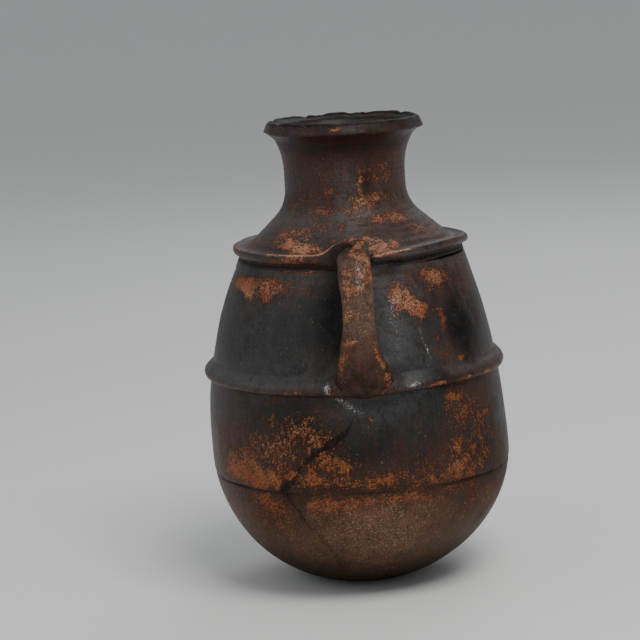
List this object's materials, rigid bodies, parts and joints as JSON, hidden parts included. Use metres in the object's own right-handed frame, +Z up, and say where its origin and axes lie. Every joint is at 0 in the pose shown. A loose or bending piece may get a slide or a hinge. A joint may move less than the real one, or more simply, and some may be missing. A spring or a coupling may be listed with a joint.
{
  "type": "amphora",
  "caption": "Two-handled terracotta storage jar with a flared collared neck, a ledged shoulder, a waist cordon and a rounded base on a flat foot.",
  "frame": {"origin": "centre of the flat foot, on the surface that the jar stands on", "axes": "+Z up along the jar's axis; the handles stand out towards -Y (front) and +Y (rear)"},
  "size_m": [0.2998, 0.3346, 0.46],
  "materials": {
    "slip_black": "smoke-blackened, wax-polished slip, worn through to orange clay in specks and streaks, satin",
    "worn_clay": "dusty rust-brown fired clay with black mottling and orange scratches, satin to dull",
    "handle_clay": "reddish-brown clay polished by hands, with black pits and a waxy highlight",
    "bare_clay": "plain orange-brown fired clay, dull"
  },
  "bodies": {
    "root": {"foot_disc": "worn_clay", "lower_bowl": "worn_clay", "belly_band": "slip_black", "waist_cordon": "slip_black", "upper_wall": "slip_black", "shoulder_flange": "slip_black", "shoulder_cone": "slip_black", "neck": "slip_black", "rim_collar": "slip_black", "seam_coil": "bare_clay", "waist_coil": "bare_clay", "shoulder_coil": "bare_clay", "neck_coil": "bare_clay", "front_handle": "handle_clay", "front_upper_lute": "handle_clay", "front_lower_lute": "handle_clay", "rear_handle": "handle_clay", "rear_upper_lute": "handle_clay", "rear_lower_lute": "handle_clay"}
  },
  "joints": []
}
